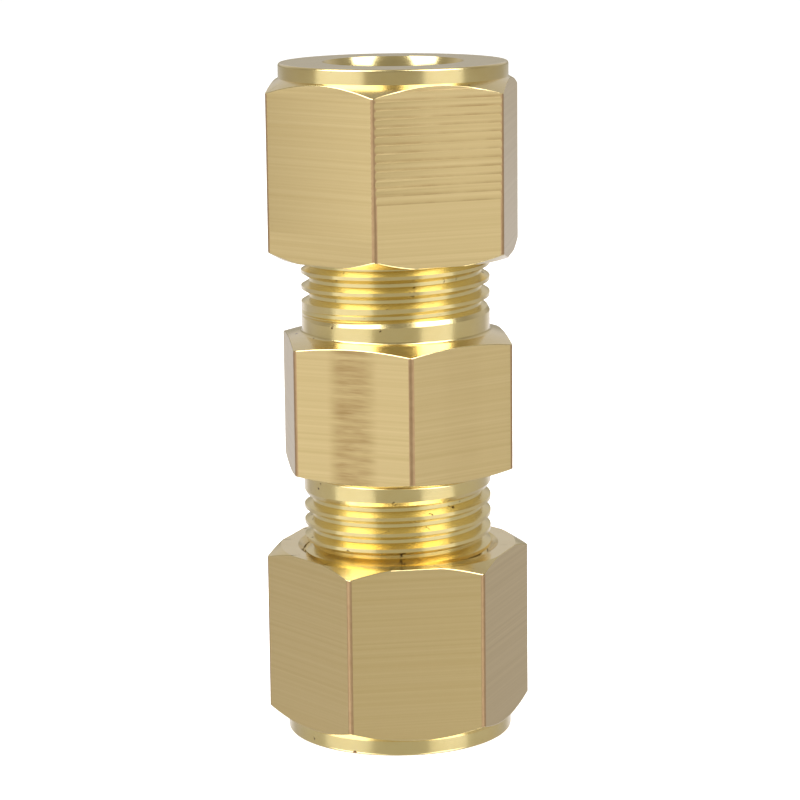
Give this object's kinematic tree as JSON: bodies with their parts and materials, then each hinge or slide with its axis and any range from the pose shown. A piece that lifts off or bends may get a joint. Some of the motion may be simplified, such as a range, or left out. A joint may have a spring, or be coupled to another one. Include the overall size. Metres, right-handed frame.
{
  "type": "compression fitting",
  "caption": "Straight compression union for 12 mm tube: a hexagon body with a male thread each end, and screw-on nuts that squeeze a ferrule on to each tube.",
  "frame": {"origin": "middle of the body, on the tube axis", "axes": "+Z along the tube axis towards the upper nut; two corners of the body's hexagon lie on +Y and -Y"},
  "size_m": [0.0254, 0.0246, 0.064],
  "materials": {
    "body_brass": "turned bright on the threads and shanks, satin on the hexagon",
    "nut_brass": "satin hexagon flats with fine lines round them, turned bright collar",
    "ferrule_brass": "turned bright"
  },
  "bodies": {
    "union_body": {"union_body": "body_brass"},
    "upper_ferrule": {"upper_ferrule": "ferrule_brass"},
    "upper_nut": {"upper_nut": "nut_brass"},
    "lower_ferrule": {"lower_ferrule": "ferrule_brass"},
    "lower_nut": {"lower_nut": "nut_brass"}
  },
  "joints": [
    {"name": "upper_travel", "type": "slide", "parent": "union_body", "child": "upper_ferrule", "axis": [0, 0, 1], "range_m": [-0.0045, 0.006]},
    {"name": "upper_nut_turn", "type": "hinge", "parent": "upper_ferrule", "child": "upper_nut", "pos_m": [0, 0, 0.023], "axis": [0, 0, 1], "range_deg": [-1080, 1440]},
    {"name": "lower_travel", "type": "slide", "parent": "union_body", "child": "lower_ferrule", "axis": [0, 0, -1], "range_m": [-0.0045, 0.006]},
    {"name": "lower_nut_turn", "type": "hinge", "parent": "lower_ferrule", "child": "lower_nut", "pos_m": [0, 0, -0.023], "axis": [0, 0, -1], "range_deg": [-1080, 1440]}
  ],
  "couplings": [
    {"joint": "upper_travel", "follows": "upper_nut_turn", "m_per_rad": 0.00023873},
    {"joint": "lower_travel", "follows": "lower_nut_turn", "m_per_rad": 0.00023873}
  ]
}
